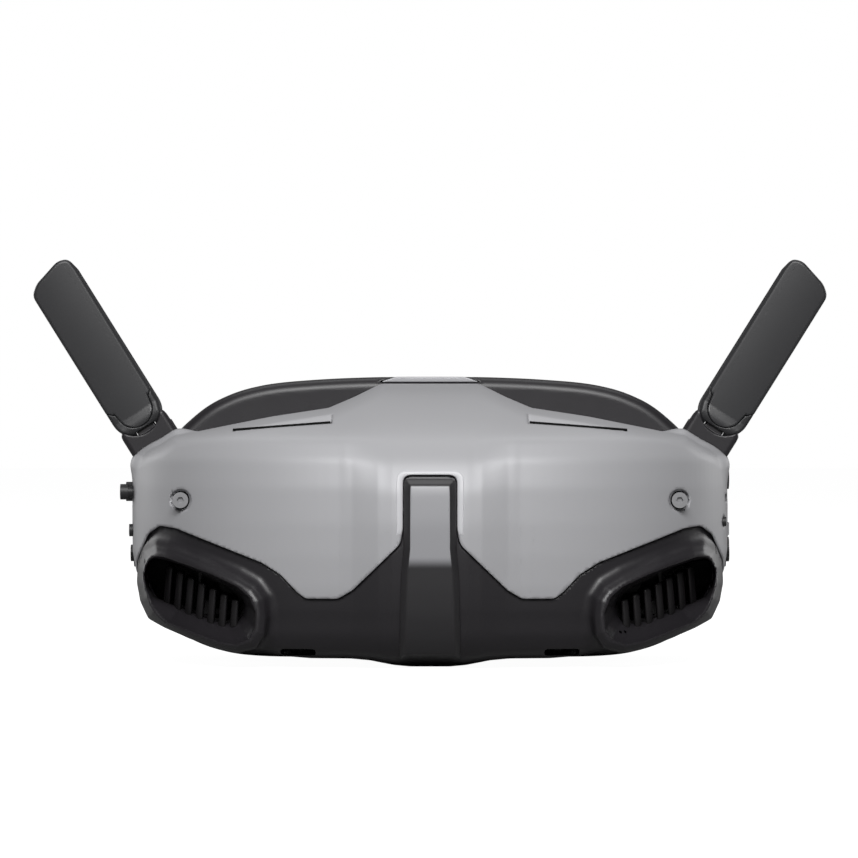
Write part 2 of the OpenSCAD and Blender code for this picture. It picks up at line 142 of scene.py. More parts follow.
class Sheet:
    """A function of two coordinates, sampled once and read back as a smooth cubic B-spline."""

    def __init__(self, function, u_range, v_range, step=0.5):
        self.step = step
        self.u0, self.v0 = u_range[0], v_range[0]
        u = np.arange(u_range[0], u_range[1] + step, step)
        v = np.arange(v_range[0], v_range[1] + step, step)
        self.values = np.ascontiguousarray(function(*np.meshgrid(u, v, indexing="ij")))
        self.count = self.values.shape

    @staticmethod
    def weights(t):
        """A B-spline's four weights and their slopes, a share t of the way between two samples."""
        value = [(1 - t) ** 3 / 6, (3 * t ** 3 - 6 * t ** 2 + 4) / 6,
                 (-3 * t ** 3 + 3 * t ** 2 + 3 * t + 1) / 6, t ** 3 / 6]
        slope = [-(1 - t) ** 2 / 2, (3 * t ** 2 - 4 * t) / 2, (-3 * t ** 2 + 2 * t + 1) / 2, t ** 2 / 2]
        return value, slope

    def read(self, u, v, slopes=False):
        """The function's value, and its two slopes as well if they are asked for."""
        a = np.clip((u - self.u0) / self.step, 1, self.count[0] - 3.001)
        b = np.clip((v - self.v0) / self.step, 1, self.count[1] - 3.001)
        i, j = a.astype(np.int64), b.astype(np.int64)
        wu, du = self.weights(a - i)
        wv, dv = self.weights(b - j)
        flat = self.values.ravel()
        base = (i - 1) * self.count[1] + (j - 1)
        value = np.zeros(np.shape(a))
        su, sv = np.zeros(np.shape(a)), np.zeros(np.shape(a))
        for m in range(4):
            row = [flat[base + (m * self.count[1] + n)] for n in range(4)]
            along = sum(w * r for w, r in zip(wv, row))
            value += wu[m] * along
            if slopes:
                su += du[m] * along
                sv += wu[m] * sum(w * r for w, r in zip(dv, row))
        if slopes:
            return value, su / self.step, sv / self.step
        return value


CORNERS = np.array([[i, j, k] for i in (0, 1) for j in (0, 1) for k in (0, 1)])
LEVELS = 3                          # times that the first, large cells are halved
KEY_BITS = 21                       # bits of a key for each of a cell's three numbers
KEY_MASK = (1 << KEY_BITS) - 1
HALF_DIAGONAL = 0.87                # of a cell of size 1
SLACK = 1.35                        # allows for fields that aren't true distances
STEADY = 0.12                       # how strongly a point is held near its cell's crossings
SMOOTH = 0.975                      # how far normals agree in a cell that holds no edge


def pack_keys(cells):
    """One whole number for each cell, so that cells can be sorted and looked up."""
    return (cells[:, 0] << 2 * KEY_BITS) | (cells[:, 1] << KEY_BITS) | cells[:, 2]


def unpack_keys(keys):
    """The cells that pack_keys made these numbers from."""
    return np.stack([keys >> 2 * KEY_BITS, (keys >> KEY_BITS) & KEY_MASK, keys & KEY_MASK], 1)


def unit_rows(vectors):
    """Each row scaled to length 1."""
    return vectors / np.maximum(np.linalg.norm(vectors, axis=1, keepdims=True), 1e-9)


def crossed_cells(field, low, high, cell):
    """The cells that the surface crosses, found by halving large ones, and the field at their corners."""
    size = cell * 2 ** LEVELS
    counts = np.ceil((np.array(high, float) - low) / size).astype(np.int64)
    cells = np.stack(np.meshgrid(*[np.arange(n) for n in counts], indexing="ij"), -1).reshape(-1, 3)
    for level in range(LEVELS, -1, -1):
        size = cell * 2 ** level
        centre = low + (cells + 0.5) * size
        cells = cells[np.abs(field(centre.T)) < HALF_DIAGONAL * size * SLACK + 0.1]
        if level:
            cells = (cells[:, None, :] * 2 + CORNERS[None]).reshape(-1, 3)
    corner_keys = pack_keys((cells[:, None, :] + CORNERS[None]).reshape(-1, 3))
    unique, back = np.unique(corner_keys, return_inverse=True)
    value = field((low + unpack_keys(unique) * cell).T)
    value = np.where(value == 0, 1e-9, value)[back].reshape(-1, 8)
    mixed = (value.min(1) < 0) & (value.max(1) > 0)
    return cells[mixed], value[mixed]


def surface(field, low, high, cell):
    """Points and quads of the surface where a field is 0, with one point in each cell that it crosses."""
    cell = cell * FINE
    low = np.array(low, float)
    cells, value = crossed_cells(field, low, high, cell)
    points, smooth = place_points(field, low, cell, cells, value)
    keys = pack_keys(cells)
    order = np.argsort(keys)
    keys_sorted = keys[order]
    quads = []
    for axis in range(3):
        far = 1 << (2 - axis)
        crossed = (value[:, 0] < 0) != (value[:, far] < 0)
        one, two = np.roll(np.eye(3, dtype=np.int64), -axis, axis=0)[1:3]
        here = cells[crossed]
        ring, found = [], np.ones(len(here), bool)
        for shift in (0 * one, one, one + two, two):
            wanted = pack_keys(here - shift)
            spot = np.clip(np.searchsorted(keys_sorted, wanted), 0, len(keys_sorted) - 1)
            found &= keys_sorted[spot] == wanted
            ring.append(order[spot])
        quad = np.stack(ring, 1)[found]
        inside = (value[crossed, 0] < 0)[found]
        quads.append(np.where(inside[:, None], quad[:, ::-1], quad))
    quads = np.concatenate(quads)[:, ::-1]
    settled = points[smooth]
    for step in (0.8, 1.0):
        slope = gradient(field, settled, 0.04)
        move = -(field(settled.T) / np.maximum((slope ** 2).sum(1), 0.05))[:, None] * slope * step
        reach = np.linalg.norm(move, axis=1, keepdims=True)
        settled = settled + move * np.minimum(1, 0.4 * cell / np.maximum(reach, 1e-9))
    points[smooth] = settled
    return points, quads


def place_points(field, low, cell, cells, value):
    """One point in each crossed cell, where the planes through its crossings meet, so edges stay crisp.

    The second result says where the planes agree, so that the surface is smooth there.
    """
    owner, key, share, ends = [], [], [], []
    for a in range(8):
        for b in range(a + 1, 8):
            step = CORNERS[b] - CORNERS[a]
            if np.abs(step).sum() != 1:
                continue
            crossed = np.flatnonzero((value[:, a] < 0) != (value[:, b] < 0))
            owner.append(crossed)
            key.append(pack_keys(cells[crossed] + CORNERS[a]) * 4 + int(np.argmax(step)))
            share.append(value[crossed, a] / (value[crossed, a] - value[crossed, b]))
            ends.append(value[crossed][:, [a, b]])
    owner, key, share, ends = (np.concatenate(part) for part in (owner, key, share, ends))
    unique, first, back = np.unique(key, return_index=True, return_inverse=True)
    axis, base = unique % 4, unique // 4
    start = low + unpack_keys(base) * cell
    way = np.eye(3)[axis] * cell
    t, here = share[first], ends[first]
    low_t, high_t = np.zeros(len(t)), np.ones(len(t))
    low_v, high_v = here[:, 0].copy(), here[:, 1].copy()
    for _ in range(3):
        v = field((start + way * t[:, None]).T)
        same = (v < 0) == (low_v < 0)
        low_t, low_v = np.where(same, t, low_t), np.where(same, v, low_v)
        high_t, high_v = np.where(same, high_t, t), np.where(same, high_v, v)
        t = low_t + (high_t - low_t) * np.clip(low_v / (low_v - high_v), 0.05, 0.95)
    hit = start + way * t[:, None]
    slope = unit_rows(gradient(field, hit, 0.03))
    hit, slope, n = hit[back], slope[back], len(cells)

    def gather(values):
        return np.bincount(owner, weights=values, minlength=n)

    hits = gather(np.ones(len(owner)))
    mean = np.stack([gather(hit[:, i]) for i in range(3)], 1) / hits[:, None]
    gap = ((hit - mean[owner]) * slope).sum(1)
    side = np.stack([gather(slope[:, i] * gap) for i in range(3)], 1)
    form = np.empty((n, 3, 3))
    for i in range(3):
        for j in range(3):
            form[:, i, j] = gather(slope[:, i] * slope[:, j]) + (STEADY if i == j else 0)
    move = np.linalg.solve(form, side[:, :, None])[:, :, 0]
    reach = np.linalg.norm(move, axis=1, keepdims=True)
    move *= np.minimum(1, 0.8 * cell / np.maximum(reach, 1e-9))
    together = np.linalg.norm(np.stack([gather(slope[:, i]) for i in range(3)], 1), axis=1) / hits
    return mean + move, together > SMOOTH


def gradient(field, points, h):
    """The field's slope at each point, from its values a distance h to either side."""
    slope = np.empty_like(points)
    for axis in range(3):
        shift = np.zeros(3)
        shift[axis] = h
        slope[:, axis] = (field((points + shift).T) - field((points - shift).T)) / (2 * h)
    return slope


# ---- the casing's form ----------------------------------------------------------------------------
def mirrored(half):
    """A closed outline from its right half, listed from the bottom up."""
    return [tuple(p) for p in half] + [(-x, z) for x, z in reversed(half)]


def eased(t):
    """From 0 to 1 with a soft start and end."""
    t = np.clip(t, 0, 1)
    return t * t * (3 - 2 * t)


def softened(points, spread):
    """A curve through points, smoothed; points are (place, value)."""
    places, values = np.array(points, float).T
    fine = np.arange(places[0], places[-1], 0.25)
    kernel = np.exp(-0.5 * (np.arange(-4 * spread, 4 * spread + 0.25, 0.25) / spread) ** 2)
    kernel /= kernel.sum()
    pad = len(kernel) // 2
    raw = np.interp(fine, places, values)
    ends = np.concatenate([np.full(pad, raw[0]), raw, np.full(pad, raw[-1])])
    smooth = np.convolve(ends, kernel, "same")[pad:-pad]
    return lambda t: np.interp(t, fine, smooth)


X_SPAN, Y_SPAN, Z_SPAN = (-92, 92), (-80, 64), (-14, 92)
SPINE_RISE = 2.5                    # how far the spine stands ahead of the panels beside it
FRONT_D = 47.0                      # the panels lie this far ahead of the origin
WALL = 1.8
SEAM_GAP = 0.05                     # from the seam's line to the shell on either side
NOZZLE_OUT = 2.6                    # how far the nozzles stand out of the casing

# How far the front face steps back from its foremost line, by height.
LOWER_PROFILE = [(-14, 40), (-4, 20), (0, 13), (2, 9.5), (4, 7), (8, 4), (14, 1.7), (20, 0.7), (28, 0.1),
                 (36, 0)]
panel_setback = softened(
    LOWER_PROFILE + [(45, 0.5), (52, 1.9), (57.3, 5.2), (60, 11.5), (62.5, 18.5), (65, 26), (68, 36),
                     (72, 50), (92, 130)], 0.9)
spine_setback = softened(
    LOWER_PROFILE + [(45, 1), (52, 4), (57.2, 9), (61.5, 18.5), (67, 34), (71.4, 52), (76, 76),
                     (92, 170)], 1.6)


def spine_share(x):
    """1 on the raised spine, 0 on the panels beside it."""
    return 1 - eased((np.abs(x) - 9.5) / 12.5)


def fuller(v):
    """Makes a sine or cosine into a superellipse's."""
    return np.sign(v) * np.abs(v) ** 0.8


def plan_curve():
    """The casing's outline from above: a half superellipse in front, and straight sides behind."""
    angles = np.radians(np.arange(180, 360.5, 2))
    x = HALF_W * fuller(np.cos(angles))
    y = 20 + (FRONT_D + 20) * fuller(np.sin(angles)) - SPINE_RISE * spine_share(x)
    return [(HALF_W, 90)] + list(zip(x[::-1], y[::-1])) + [(-HALF_W, 90)]


PLAN = Sheet(lambda x, y: outline_distance(plan_curve(), x, y), X_SPAN, Y_SPAN)
SETBACK = Sheet(
    lambda x, z: spine_setback(z) * spine_share(x) + panel_setback(z) * (1 - spine_share(x)), X_SPAN, Z_SPAN)

# Half of the casing's outline, and of the seam between its shell and its lower cover, from the front.
FRONT_HALF = [(5, 0), (9, 0.4), (15, 1.6), (20, 2), (30, 2), (38, 2.6), (50, 4.4), (61, 8), (70, 12.6),
              (75.5, 20), (78.3, 28), (78.5, 40), (77.9, 51), (74.6, 53.4), (69, 55.6), (65.2, 58),
              (58.7, 59.2), (40.3, 62.9), (26, 65.1), (19.7, 67.9), (12.7, 71.6)]
OUTLINE = Sheet(lambda x, z: outline_distance(rounded(mirrored(FRONT_HALF), 3.0), x, z), X_SPAN, Z_SPAN)
SEAM_HALF = [(90, 8), (76.2, 16), (74.9, 26), (71.6, 33.0), (68.5, 35.2), (64, 34.6), (51.8, 30.1),
             (42, 26.4), (37.2, 23.4), (33.2, 19.2), (31, 17.5), (22.9, 17.5), (19.3, 19.6), (7.4, 31.1),
             (6.6, 35), (6.6, 44), (6.6, 48.2)]
SEAM_ROUND = [0, 2, 2, 2, 2, 4, 6, 6, 4, 3, 2.5, 2.5, 4, 4, 4, 1, 2]
SEAM_LINE = rounded([(90, -20)] + mirrored(SEAM_HALF) + [(-90, -20)],
                    [0] + SEAM_ROUND + SEAM_ROUND[::-1] + [0])
SEAM = Sheet(lambda x, z: outline_distance(SEAM_LINE, x, z), X_SPAN, Z_SPAN, 0.4)

# A nozzle's outer edge and its opening, seen from the front.
RIM = [(40.4, 13), (40.9, 8.5), (43.4, 4.9), (48, 3.7), (52.6, 4.4), (60.4, 7), (67.2, 9.4), (71.8, 11.4),
       (74.3, 15.8), (75.0, 20.6), (74.6, 25), (73.0, 29.0), (69.5, 30.9), (66, 30.4), (57.5, 27.6),
       (47.9, 23.7), (43.3, 21), (40.9, 17.6)]
MOUTH = [(43.3, 14), (43.6, 9.8), (45.2, 7.3), (48.4, 5.9), (52.6, 6.3), (60.4, 8.8), (66.8, 11),
         (71.2, 12.6), (73.4, 16.5), (74, 20.5), (73.5, 24.2), (72.2, 27), (70.4, 28), (67, 27.4),
         (60.6, 25.5), (54.3, 23.3), (47.9, 20.4), (44.9, 17.8)]
RIM_SHEET = Sheet(lambda x, z: outline_distance(rounded(RIM, 1.6), x, z), (30, 88), (-8, 44), 0.4)
MOUTH_SHEET = Sheet(lambda x, z: outline_distance(rounded(MOUTH, 1.2), x, z), (30, 88), (-8, 44), 0.4)
MOUTH_MIDDLE = 58.65                # the line that the funnel narrows towards rises through this x
MOUTH_RISE = 0.35


def mouth_form(x, z, depth):
    """The funnel behind a nozzle's opening: it narrows with depth, most of all from below."""
    t = eased(depth / 8.5)
    near_x = MOUTH_MIDDLE + (x - MOUTH_MIDDLE - 0.9 * t) / (1 - 0.15 * t)
    across = (z - 17 - MOUTH_RISE * (x - MOUTH_MIDDLE) - 1.5 * t) / (1 - 0.33 * t)
    return MOUTH_SHEET.read(near_x, 17 + MOUTH_RISE * (near_x - MOUTH_MIDDLE) + across) * (1 - 0.25 * t)


def front_form(p):
    """Distance to the front and side surface, before the top and bottom are trimmed."""
    x, y, z = p
    s, sx, sz = SETBACK.read(x, z, True)
    d, dx, dy = PLAN.read(x, y - s, True)
    steep = np.sqrt((dx - dy * sx) ** 2 + dy ** 2 * (1 + sz ** 2))
    return d / np.maximum(steep, 0.7)


def casing(front, outline, inset=0.0):
    """The closed casing without its parts, or the same form moved inward."""
    return meet(front + inset, outline + inset, 3.5 - 0.6 * inset)


def at_hinge(p):
    """A point in the left antenna's own frame: across the paddle, back, and along it."""
    across, back, up = p[0] - HINGE[0], p[1] - HINGE[1], p[2] - HINGE[2]
    c, s = math.cos(LEAN), math.sin(LEAN)
    return across * c - up * s, back, across * s + up * c


def sided(p):
    """The same point folded onto the wearer's left half."""
    return np.abs(p[0]), p[1], p[2]


SLIT_X = 37.4                       # middle of a top slit


def slit_lines(x):
    """How far along a top slit a point is, and the heights of its lower and upper edge there."""
    along = np.clip((x - 24.6) / 26.5, 0, 1)
    foot = 61.1 - 1.9 * along
    return along, foot, foot + 0.9 + 2.1 * (1 - along)


def slit(q, front):
    """A tapering recess in the top facet, deepest along its lower edge."""
    x, z = q[0], q[2]
    along, foot, head = slit_lines(x)
    deep = (0.15 + 1.5 * np.clip((head - z) / (head - foot), 0, 1)) * (1 - 0.75 * along)
    strip = np.maximum(np.maximum(foot - z, z - head) * 0.9, np.abs(x - SLIT_X) - 12.8)
    return np.maximum(strip, -(front + deep))


def painted_slit_shade(p):
    """A near-black strip along a slit's lower edge, painted shade standing in for the dark vent gap."""
    x, z = p[0], p[2]
    front = front_form(p)
    along, foot = slit_lines(x)[:2]
    line = np.maximum(np.abs(z - foot - 0.2) - 0.42 + 0.12 * along, np.abs(x - SLIT_X) - 12.3)
    return np.maximum(np.maximum(line, front + 0.22), -(front + 1.6))


def side_edge(x):
    """Where the seam runs along the casing's side its edges are rounded more."""
    return eased((x - 71) / 4)


def front_shell(p):
    """The upper casing, with its slits, its seats for screws and antennas and the holes in its walls."""
    x, y, z = p
    q = sided(p)
    front, outline = front_form(p), OUTLINE.read(x, z)
    skin = casing(front, outline)
    local = at_hinge(q)
    pad = box_field(local, (0, 0, -11.6), (7.5, 5.3, 4.6), 2.0)
    skin = union(skin, pad, 4.5)
    solid = cut(skin, casing(front, outline, WALL))
    solid = meet(solid, y - REAR_Y, 0.3)
    solid = cut(solid, slit(q, front), 0.25)
    ring = np.hypot(q[0] - SCREW_X, z - SCREW_Z)
    solid = cut(solid, np.maximum(ring - 2.75, -(front + 0.75)), 0.35)
    solid = cut(solid, np.maximum(ring - 2.3, -(front + 2.2)), 0.1)
    solid = cut(solid, box_field(local, (0, 0, -8), (6.78, 4.45, 4.8), 1.0), 0.2)
    for hole in WALL_HOLES:
        solid = cut(solid, hole(p), 0.2)
    u_edge = eased((z - 30) / 6) * eased((12 - q[0]) / 3)
    return cut(solid, SEAM.read(x, z) - SEAM_GAP, 0.22 + 0.9 * u_edge + 0.6 * side_edge(q[0]))


def wall_hole(place, r, side):
    """A round hole through a side wall at the middle of a node's box."""
    def hole(p):
        return np.maximum(np.hypot(p[1] - place[1], p[2] - place[2]) - r, 60 - side * p[0])
    return hole


def wall_slot(place, half, r):
    """A slot with rounded ends through the wearer's left side wall."""
    def hole(p):
        return np.maximum(box_field(p, (80, place[1], place[2]), (12, half[0], half[1]), r), 60 - p[0])
    return hole


WALL_HOLES = [
    wall_hole(middle("joystick_cap"), 3.2, -1), wall_hole(middle("back_button"), 2.8, -1),
    wall_hole(middle("record_button"), 1.85, -1), wall_hole(middle("link_button"), 1.45, 1),
    wall_hole(middle("audio_jack"), 2.62, 1), wall_hole(middle("power_port"), 3.22, 1),
    wall_slot(middle("usb_port"), (4.52, 1.62), 1.2), wall_slot(middle("card_socket"), (6, 0.9), 0.5)]


def lower_cover(p):
    """The casing's lower front with its two nozzles, and the slots under it for the knobs and lenses."""
    x, y, z = p
    q = sided(p)
    front, outline = front_form(p), OUTLINE.read(x, z)
    recess = 0.9 * eased((z - 5) / 9)
    skin = meet(front + recess, outline + 0.1, 3.0)
    plan = PLAN.read(x, y)
    rim = RIM_SHEET.read(q[0], z)
    nozzle = meet(plan - NOZZLE_OUT, rim, 0.8)
    nozzle = meet(nozzle, (rim + plan - NOZZLE_OUT + 2.4) * 0.7071, 0.8)
    nozzle = np.maximum(nozzle, y + 6)
    skin = union(skin, nozzle, 3.2)
    solid = cut(skin, casing(front, outline, WALL + 0.7))
    mouth = mouth_form(q[0], z, np.maximum(np.maximum(NOZZLE_OUT - plan, y + 27), 0))
    lining = np.maximum(np.maximum(mouth - 1.6, skin + 0.4), y + 9)
    solid = np.minimum(solid, lining)
    solid = cut(solid, np.maximum(mouth, y + 8), 0.45)
    solid = meet(solid, y - REAR_Y, 0.3)
    slot = np.hypot(np.maximum(np.abs(q[0] - KNOB[0]) - 4, 0), y - KNOB[1]) - 5.4
    solid = cut(solid, np.maximum(slot, z - 12), 0.5)
    solid = cut(solid, box_field(q, (33.0, -35, 3.9), (4.4, 13, 0.85), 0.8), 0.25)
    return meet(solid, SEAM.read(x, z) + SEAM_GAP, 0.2 + 0.6 * side_edge(q[0]))


STRIP = Sheet(lambda x, z: outline_distance(
    rounded(mirrored([(7.7, 2.2), (7.1, 24), (6.5, 30), (6.5, 47.4)]), [1, 6, 6, 1.6, 1.6, 6, 6, 1]), x, z),
    (-20, 20), (-8, 60), 0.25)
LIP = Sheet(lambda x, z: outline_distance(
    rounded(mirrored([(17, 21), (8.9, 30.6), (8.3, 34.4), (8.3, 49.3)]), [0, 3, 3, 2.4, 2.4, 3, 3, 0]), x, z),
    (-24, 24), (-8, 60), 0.25)


def center_strip(p):
    """The bevelled strip that runs down the middle of the front."""
    x, y, z = p
    front = front_form(p)
    raised = front - 1.7
    sides = STRIP.read(x, z)
    bevel = (1.12 * sides + raised + 1.7) / 1.5
    solid = meet(raised, bevel, 0.3)
    return np.maximum(np.maximum(np.maximum(solid, -(front + 1.5)), sides), y + 34)


def shell_lip(p):
    """The pale bevelled edge of the shell around the strip's upper part."""
    x, y, z = p
    front = front_form(p)
    fade = 1.5 * eased((34.5 - z) / 5)
    band = np.maximum(LIP.read(x, z) + 0.02, 0.12 - SEAM.read(x, z))
    slope = (front - 0.12 + 0.45 * (0.12 - np.minimum(LIP.read(x, z), 0) - 1.0)) / 1.1 + 0.9 * fade
    solid = meet(meet(front - 0.18 + fade, band, 0.18), slope, 0.3)
    return np.maximum(np.maximum(solid, -(front + 1.6)), y + 30)


# ---- vanes in the nozzles -------------------------------------------------------------------------
VANES = 7


def vent_grille(p):
    """Seven leaning vanes and the ring that holds them, on the wearer's left."""
    x, y, z = p
    plan = PLAN.read(x, y)
    blades = None
    for i in range(VANES):
        top = np.array([66.0 - 2.88 * i, 24.9 - 1.33 * i])
        foot = np.array([67.2 - 2.95 * i, 14.0 - 1.12 * i])
        length = np.linalg.norm(foot - top)
        along = (foot - top) / length
        u = (x - top[0]) * along[0] + (z - top[1]) * along[1]
        side = (x - top[0]) * along[1] - (z - top[1]) * along[0]
        front = plan + 3.0 + 0.06 * (u - 2) ** 2 / 4
        edge = meet(np.abs(side) - 0.95, front, 0.9)
        ends = np.maximum(-u, u - length)
        blade = np.maximum(meet(edge, ends, 0.6), -(plan + 11))
        blades = blade if blades is None else np.minimum(blades, blade)
    throat = mouth_form(x, z, 8.0)
    ring = np.maximum(np.maximum(throat - 0.5, -(throat + 0.9)), np.abs(plan + 8.6) - 1.6)
    for height in (11.5, 19.5):
        line = np.abs(z - height - 0.46 * (x - 57.0)) - 0.7
        ring = np.minimum(ring, np.maximum(np.maximum(throat, np.abs(plan + 9.6) - 0.8), line))
    return np.minimum(np.maximum(blades, throat - 1.2), ring)


# ---- rear frame and face side ---------------------------------------------------------------------
ARCH_HALF = [(18, 0), (48, 0), (60, 3), (70, 9), (76, 18), (77.5, 30), (76, 42), (72, 52), (65.5, 59.8),
             (58, 66.2), (50, 69.8), (41, 71.8), (26.5, 72.9), (12, 73.4)]
FACE_HALF = [(24, 15), (44, 12.5), (58, 18), (64, 30), (63, 46), (55, 57), (40, 61)]
NOSE_HALF = [(19, -1), (13, 20), (7, 27)]


def worn(points, times):
    """A closed outline with its corners cut again and again, which leaves a smooth curve."""
    points = np.array(points, float)
    for _ in range(times):
        after = np.roll(points, -1, axis=0)
        points = np.stack([0.78 * points + 0.22 * after, 0.22 * points + 0.78 * after], 1).reshape(-1, 2)
    return points


def face_opening(x, z):
    """The opening for the eyes, joined with the notch for the nose."""
    eyes = outline_distance(rounded(mirrored(FACE_HALF), 7.0), x, z)
    nose = outline_distance(rounded(mirrored([(19.5, -12)] + NOSE_HALF), [0, 2, 4, 4, 4, 4, 2, 0]), x, z)
    return union(eyes, nose, 3.0)


ARCH = Sheet(lambda x, z: outline_distance(worn(mirrored(ARCH_HALF), 3), x, z), X_SPAN, Z_SPAN)
OPENING = Sheet(face_opening, X_SPAN, Z_SPAN)


def face_y(x, mid, side):
    """A curve around the face, given how far back it is at the middle and at the casing's sides."""
    return mid + (side - mid) * (np.abs(x) / HALF_W) ** 2


def rear_frame(p):
    """The frame behind the casing, with a round lug on each side for the headband."""
    x, y, z = p
    arch, opening = ARCH.read(x, z), OPENING.read(x, z)
    ahead = REAR_Y + 0.15 - y
    solid = meet(meet(arch, ahead, 3.0), (y - face_y(x, 26, 45)) * 0.9, 0.6)
    solid = cut(solid, opening, 1.0)
    lug = np.hypot(y - LUG[1], z - LUG[2])
    solid = cut(solid, np.maximum(lug - 6.5, -(arch + 0.7)), 0.4)
    solid = union(solid, np.maximum(np.maximum(lug - 3.6, np.abs(x) - 78.0), 70 - np.abs(x)), 0.8)
    solid = cut(solid, np.maximum(lug - 2.2, 69 - np.abs(x)))
    return cut(solid, np.maximum(trim_outline(x, z) - 0.15, y - 22))


def trim_outline(x, z):
    """The small plate let into the frame's top edge; it tapers upward."""
    return np.maximum(np.maximum(72 - z, (np.abs(x) - 13 + 2.86 * (z - 72)) * 0.33), z - 80)


def top_trim(p):
    """The plate itself, flush with the frame's top."""
    x, y, z = p
    ends = np.abs(y - 20.15) - 1.85
    return meet(meet(trim_outline(x, z), ends, 0.25), meet(ARCH.read(x, z), ends, 0.5), 0.2)


def foam_form(p):
    """The cushion: crowned across its width, with a line of stitches near its back."""
    x, y, z = p
    arch, opening = ARCH.read(x, z), OPENING.read(x, z)
    back = (y - face_y(x, 35, 53)) * 0.9
    ahead = (face_y(x, 26, 45) + 0.25 - y) * 0.9
    girth = np.maximum(arch + 1.3, 0.9 - opening)
    crown = meet(arch + 1.5, back, 5.0)
    crown = meet(crown, 1.1 - opening, 4.0)
    crown = meet(crown, back, 1.0)
    solid = meet(crown, ahead, 1.5)
    stitch = 0.55 * np.exp(-((back + 4.2) / 0.55) ** 2)
    return np.maximum(solid, girth) + stitch


# ---- antennas, in their own frame: across the paddle, back, and along it ----------------------------
PADDLE_HALF, PADDLE_LEN, PADDLE_T = 6.8, 46.6, 5.6
PIN_R = 1.25                        # of the hole for the hinge's pin


def arc(centre, radius, start, stop):
    """Points on an arc, from one angle to another in degrees."""
    turn = np.radians(np.linspace(start, stop, 24))
    return [(centre[0] + radius * math.cos(t), centre[1] + radius * math.sin(t)) for t in turn]


PADDLE_TIP = rounded(
    [(PADDLE_HALF, 10), (PADDLE_HALF, PADDLE_LEN - 4.2), (PADDLE_HALF - 2.6, PADDLE_LEN - 2.2),
     (-PADDLE_HALF / 2, PADDLE_LEN), (-PADDLE_HALF + 0.8, PADDLE_LEN - 0.9),
     (-PADDLE_HALF, PADDLE_LEN - 4.4), (-PADDLE_HALF, 10)], [0, 3, 5, 5, 2, 4, 0])
PADDLE = Sheet(lambda u, v: outline_distance(
    arc((0, 3.2), PADDLE_HALF, 180, 360) + list(map(tuple, PADDLE_TIP)), u, v), (-12, 12), (-14, 56), 0.2)
TONGUE_END = rounded([(-10, 70), (-10, 6.9), (-6.4, 6.3), (-5.0, 4.6)], [0, 0.5, 1.2, 0.6])
TONGUE_LINE = list(map(tuple, TONGUE_END)) + arc((0, 3.7), 4.7, 190, 350)
TONGUE_LINE += [(-x, z) for x, z in TONGUE_END[::-1]]
TONGUE = Sheet(lambda u, v: outline_distance(TONGUE_LINE, u, v), (-12, 12), (-14, 56), 0.2)


def paddle_solid(a, b, c):
    """The whole paddle with the knuckle at its foot."""
    knuckle = np.hypot(b, c) - 3.3
    crown = PADDLE_T / 2 - 0.4 * (a / PADDLE_HALF) ** 2 - 0.3 * (c / PADDLE_LEN) ** 2
    slab = union(np.maximum(np.abs(b) - crown, -c), knuckle, 0.6)
    solid = meet(slab, PADDLE.read(a, c), 0.8)
    return meet(solid, -(a + 5.6) / 1.3 - (b + 1.3) / 1.6 - 1, 0.3)


def hinge_slot(a, b, c):
    """The room that the fixed tongue needs in the paddle's foot, at rest and folded."""
    round_part = np.hypot(b, c) - 2.65
    behind = np.maximum(np.abs(b - 5) - 7.45, np.abs(c + 2) - 4.6)
    below = np.maximum(np.abs(b) - 2.6, np.abs(c + 5) - 5)
    return np.maximum(np.minimum(np.minimum(round_part, behind), below), np.abs(a) - 2.9)


def antenna_back(p):
    """A paddle's rear part, hollow for the board and cut for the front part, the tongue and the pin."""
    a, b, c = at_hinge(p)
    solid = paddle_solid(a, b, c)
    cover = np.maximum(TONGUE.read(a, c), b + 1.35)
    solid = cut(solid, cover - 0.07, 0.15)
    solid = cut(solid, hinge_slot(a, b, c), 0.2)
    inside = box_field((a, b, c), (0, 0.2, 25), (5.0, 1.4, 17), 0.3)
    pin = np.maximum(np.hypot(b, c) - PIN_R, np.abs(a) - 5.7)
    return cut(cut(solid, inside), pin)


def antenna_cover(p):
    """A paddle's front part, let into the rear one."""
    a, b, c = at_hinge(p)
    front = meet(TONGUE.read(a, c), b + 1.35, 0.1)
    solid = meet(paddle_solid(a, b, c), front + 0.07, 0.22)
    tongue_room = np.maximum(np.hypot(b, c) - 2.7, np.abs(a) - 2.9)
    return cut(solid, tongue_room, 0.1)


def antenna_stub(p):
    """The collar under a paddle, hollowed for the knuckle, with the hinge's tongue standing in it."""
    a, b, c = at_hinge(p)
    root = box_field((a, b, c), (0, 0, -6.2), (6.65, 4.3, 6.6), 1.4)
    bowl = np.hypot(a, c - 3.2) - 6.35
    root = cut(root, bowl, 0.35)
    root = cut(root, np.maximum(np.hypot(b, c) - 3.6, np.abs(a) - 9), 0.1)
    back_room = np.maximum(np.maximum(-0.3 - b, -3.3 - c), np.abs(a) - 9)
    root = cut(root, back_room, 0.2)
    tongue = meet(np.minimum(np.hypot(b, c) - 2.2, box_field((a, b, c), (0, 0, -3), (9, 2.0, 3.2), 0.3)),
                  np.abs(a) - 2.6, 0.3)
    solid = union(root, tongue, 0.4)
    return cut(solid, np.maximum(np.hypot(b, c) - PIN_R, np.abs(a) - 9))


# ---- pieces of mesh -------------------------------------------------------------------------------
def steadied(points, quads, normals):
    """The field's normals, but the mesh's own where the two differ too much."""
    corners = [points[quads[:, k]] for k in range(4)]
    face = np.cross(corners[2] - corners[0], corners[3] - corners[1])
    own = np.zeros_like(points)
    for k in range(4):
        for axis in range(3):
            own[:, axis] += np.bincount(quads[:, k], weights=face[:, axis], minlength=len(points))
    own = unit_rows(own)
    stray = (own * normals).sum(1) < 0.4
    return np.where(stray[:, None], own, normals)


